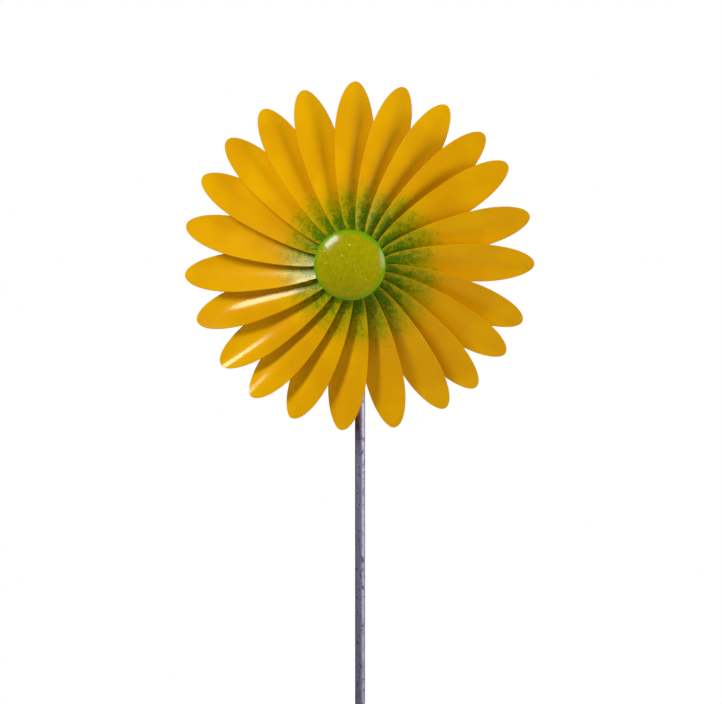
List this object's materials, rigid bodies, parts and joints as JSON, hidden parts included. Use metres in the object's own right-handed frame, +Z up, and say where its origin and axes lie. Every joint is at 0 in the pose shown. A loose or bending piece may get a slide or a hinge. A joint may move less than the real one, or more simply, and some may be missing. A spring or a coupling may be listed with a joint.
{
  "type": "wind spinner",
  "caption": "Sheet metal daisy with overlapping spoon-shaped petals and a domed centre, turning on ball bearings at the top of a pointed steel stake.",
  "frame": {"origin": "on the stake's axis at the ground line, where the stake enters the soil", "axes": "+Z up along the stake; the flower faces -Y and its spin axis lies along Y"},
  "size_m": [0.3349, 0.0887, 1.218],
  "materials": {
    "petal_paint": "golden yellow enamel on sheet steel, green airbrushed at the root, semi-gloss",
    "dome_enamel": "olive green enamel with a greener rim and fine raised specks, glossy",
    "hub_paint": "yellow paint over welded steel, semi-gloss",
    "stake_steel": "raw drawn bar, grey-violet with dark mill flecks",
    "zinc_steel": "bright zinc plated",
    "bearing_steel": "ground and polished",
    "spacer_brass": "turned",
    "cage_brass": "pressed"
  },
  "bodies": {
    "stake": {"lower_pole": "stake_steel", "upper_pole": "stake_steel", "joint_stud": "zinc_steel", "axle_head": "stake_steel", "axle_bolt": "zinc_steel", "rear_washer": "zinc_steel", "rear_spacer": "spacer_brass", "rear_inner_ring": "bearing_steel", "bearing_spacer": "spacer_brass", "front_inner_ring": "bearing_steel", "front_washer": "zinc_steel", "lock_nut": "zinc_steel"},
    "rotor": {"rear_outer_ring": "bearing_steel", "rear_shields": "bearing_steel", "front_outer_ring": "bearing_steel", "front_shields": "bearing_steel", "hub_barrel": "hub_paint", "hub_plate": "hub_paint", "petal_ring": "hub_paint", "ring_cap": "hub_paint", "dome_base": "dome_enamel", "dome_rivets": "zinc_steel", "dome_cap": "dome_enamel", "petal_01": "petal_paint", "petal_02": "petal_paint", "petal_03": "petal_paint", "petal_04": "petal_paint", "petal_05": "petal_paint", "petal_06": "petal_paint", "petal_07": "petal_paint", "petal_08": "petal_paint", "petal_09": "petal_paint", "petal_10": "petal_paint", "petal_11": "petal_paint", "petal_12": "petal_paint", "petal_13": "petal_paint", "petal_14": "petal_paint", "petal_15": "petal_paint", "petal_16": "petal_paint", "petal_17": "petal_paint", "petal_18": "petal_paint", "petal_19": "petal_paint", "petal_20": "petal_paint", "petal_21": "petal_paint", "petal_22": "petal_paint", "petal_23": "petal_paint"},
    "rear_ball_set": {"rear_balls": "bearing_steel", "rear_cage": "cage_brass"},
    "front_ball_set": {"front_balls": "bearing_steel", "front_cage": "cage_brass"}
  },
  "joints": [
    {"name": "rotor_spin", "type": "hinge", "parent": "stake", "child": "rotor", "pos_m": [0, -0.03, 0.85], "axis": [0, -1, 0], "continuous": true},
    {"name": "rear_ball_orbit", "type": "hinge", "parent": "stake", "child": "rear_ball_set", "pos_m": [0, -0.02, 0.85], "axis": [0, -1, 0], "continuous": true},
    {"name": "front_ball_orbit", "type": "hinge", "parent": "stake", "child": "front_ball_set", "pos_m": [0, -0.044, 0.85], "axis": [0, -1, 0], "continuous": true}
  ],
  "couplings": [
    {"joint": "rear_ball_orbit", "follows": "rotor_spin", "ratio": 0.64},
    {"joint": "front_ball_orbit", "follows": "rotor_spin", "ratio": 0.64}
  ]
}
